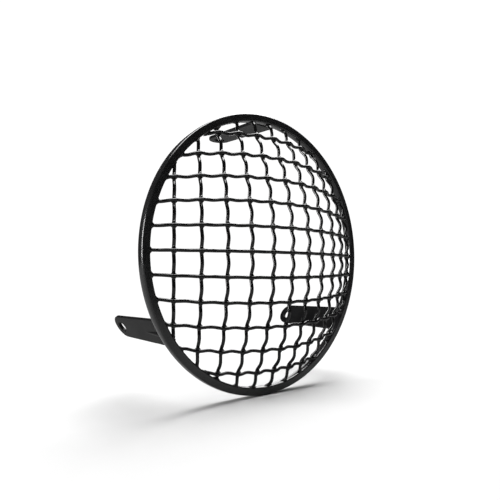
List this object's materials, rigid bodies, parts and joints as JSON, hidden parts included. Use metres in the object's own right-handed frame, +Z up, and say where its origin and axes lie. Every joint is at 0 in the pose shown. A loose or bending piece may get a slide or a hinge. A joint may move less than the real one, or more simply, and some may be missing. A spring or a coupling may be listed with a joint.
{
  "type": "motorcycle headlight guard",
  "caption": "Round steel guard for a motorcycle headlight: a domed grille of crimped wires welded inside a bar ring, with bolt tabs that reach back beside the lamp.",
  "frame": {"origin": "centre of the ring's back face, behind which the headlamp sits", "axes": "+Z up as fitted, +Y backwards into the lamp, -Y forwards out of the domed grille, +X to the right as seen from the front"},
  "size_m": [0.19, 0.0891, 0.19],
  "materials": {
    "ring_coat": "black powder coat, satin gloss",
    "tab_coat": "black powder coat, satin",
    "wire_coat": "black powder coat, glossy"
  },
  "bodies": {
    "root": {"rim_ring": "ring_coat", "upper_tab": "tab_coat", "lower_left_tab": "tab_coat", "lower_right_tab": "tab_coat", "upright_wire_1": "wire_coat", "upright_wire_2": "wire_coat", "upright_wire_3": "wire_coat", "upright_wire_4": "wire_coat", "upright_wire_5": "wire_coat", "upright_wire_6": "wire_coat", "upright_wire_7": "wire_coat", "upright_wire_8": "wire_coat", "upright_wire_9": "wire_coat", "upright_wire_10": "wire_coat", "upright_wire_11": "wire_coat", "level_wire_1": "wire_coat", "level_wire_2": "wire_coat", "level_wire_3": "wire_coat", "level_wire_4": "wire_coat", "level_wire_5": "wire_coat", "level_wire_6": "wire_coat", "level_wire_7": "wire_coat", "level_wire_8": "wire_coat", "level_wire_9": "wire_coat", "level_wire_10": "wire_coat", "level_wire_11": "wire_coat"}
  },
  "joints": []
}
